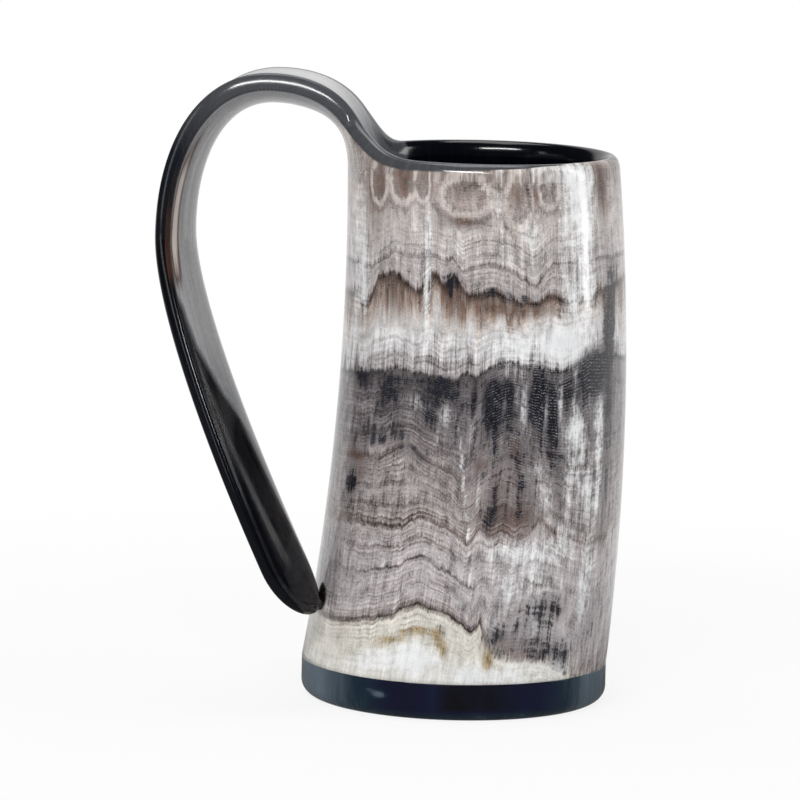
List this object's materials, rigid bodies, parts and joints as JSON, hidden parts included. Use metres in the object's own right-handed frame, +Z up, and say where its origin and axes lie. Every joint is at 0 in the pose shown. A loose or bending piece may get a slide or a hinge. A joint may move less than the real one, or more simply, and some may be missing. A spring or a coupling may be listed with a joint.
{
  "type": "drinking mug",
  "caption": "Tall horn tankard with a wall and bent strip handle in one piece, closed below by a black horn plate plugged into the bore and sealed with resin.",
  "frame": {"origin": "centre of the flat underside of the base plate", "axes": "+Z up, the handle points to -X, and the handle's tip lands on the -Y side of the plane of the handle"},
  "size_m": [0.1314, 0.0856, 0.1745],
  "materials": {
    "horn": "polished natural horn, streaked cream, taupe, brown and black",
    "black_horn": "polished black horn",
    "resin": "clear to dark set resin"
  },
  "bodies": {
    "root": {"horn_shell": "horn", "base_plate": "black_horn", "base_seal": "resin", "tip_bond": "resin"}
  },
  "joints": []
}
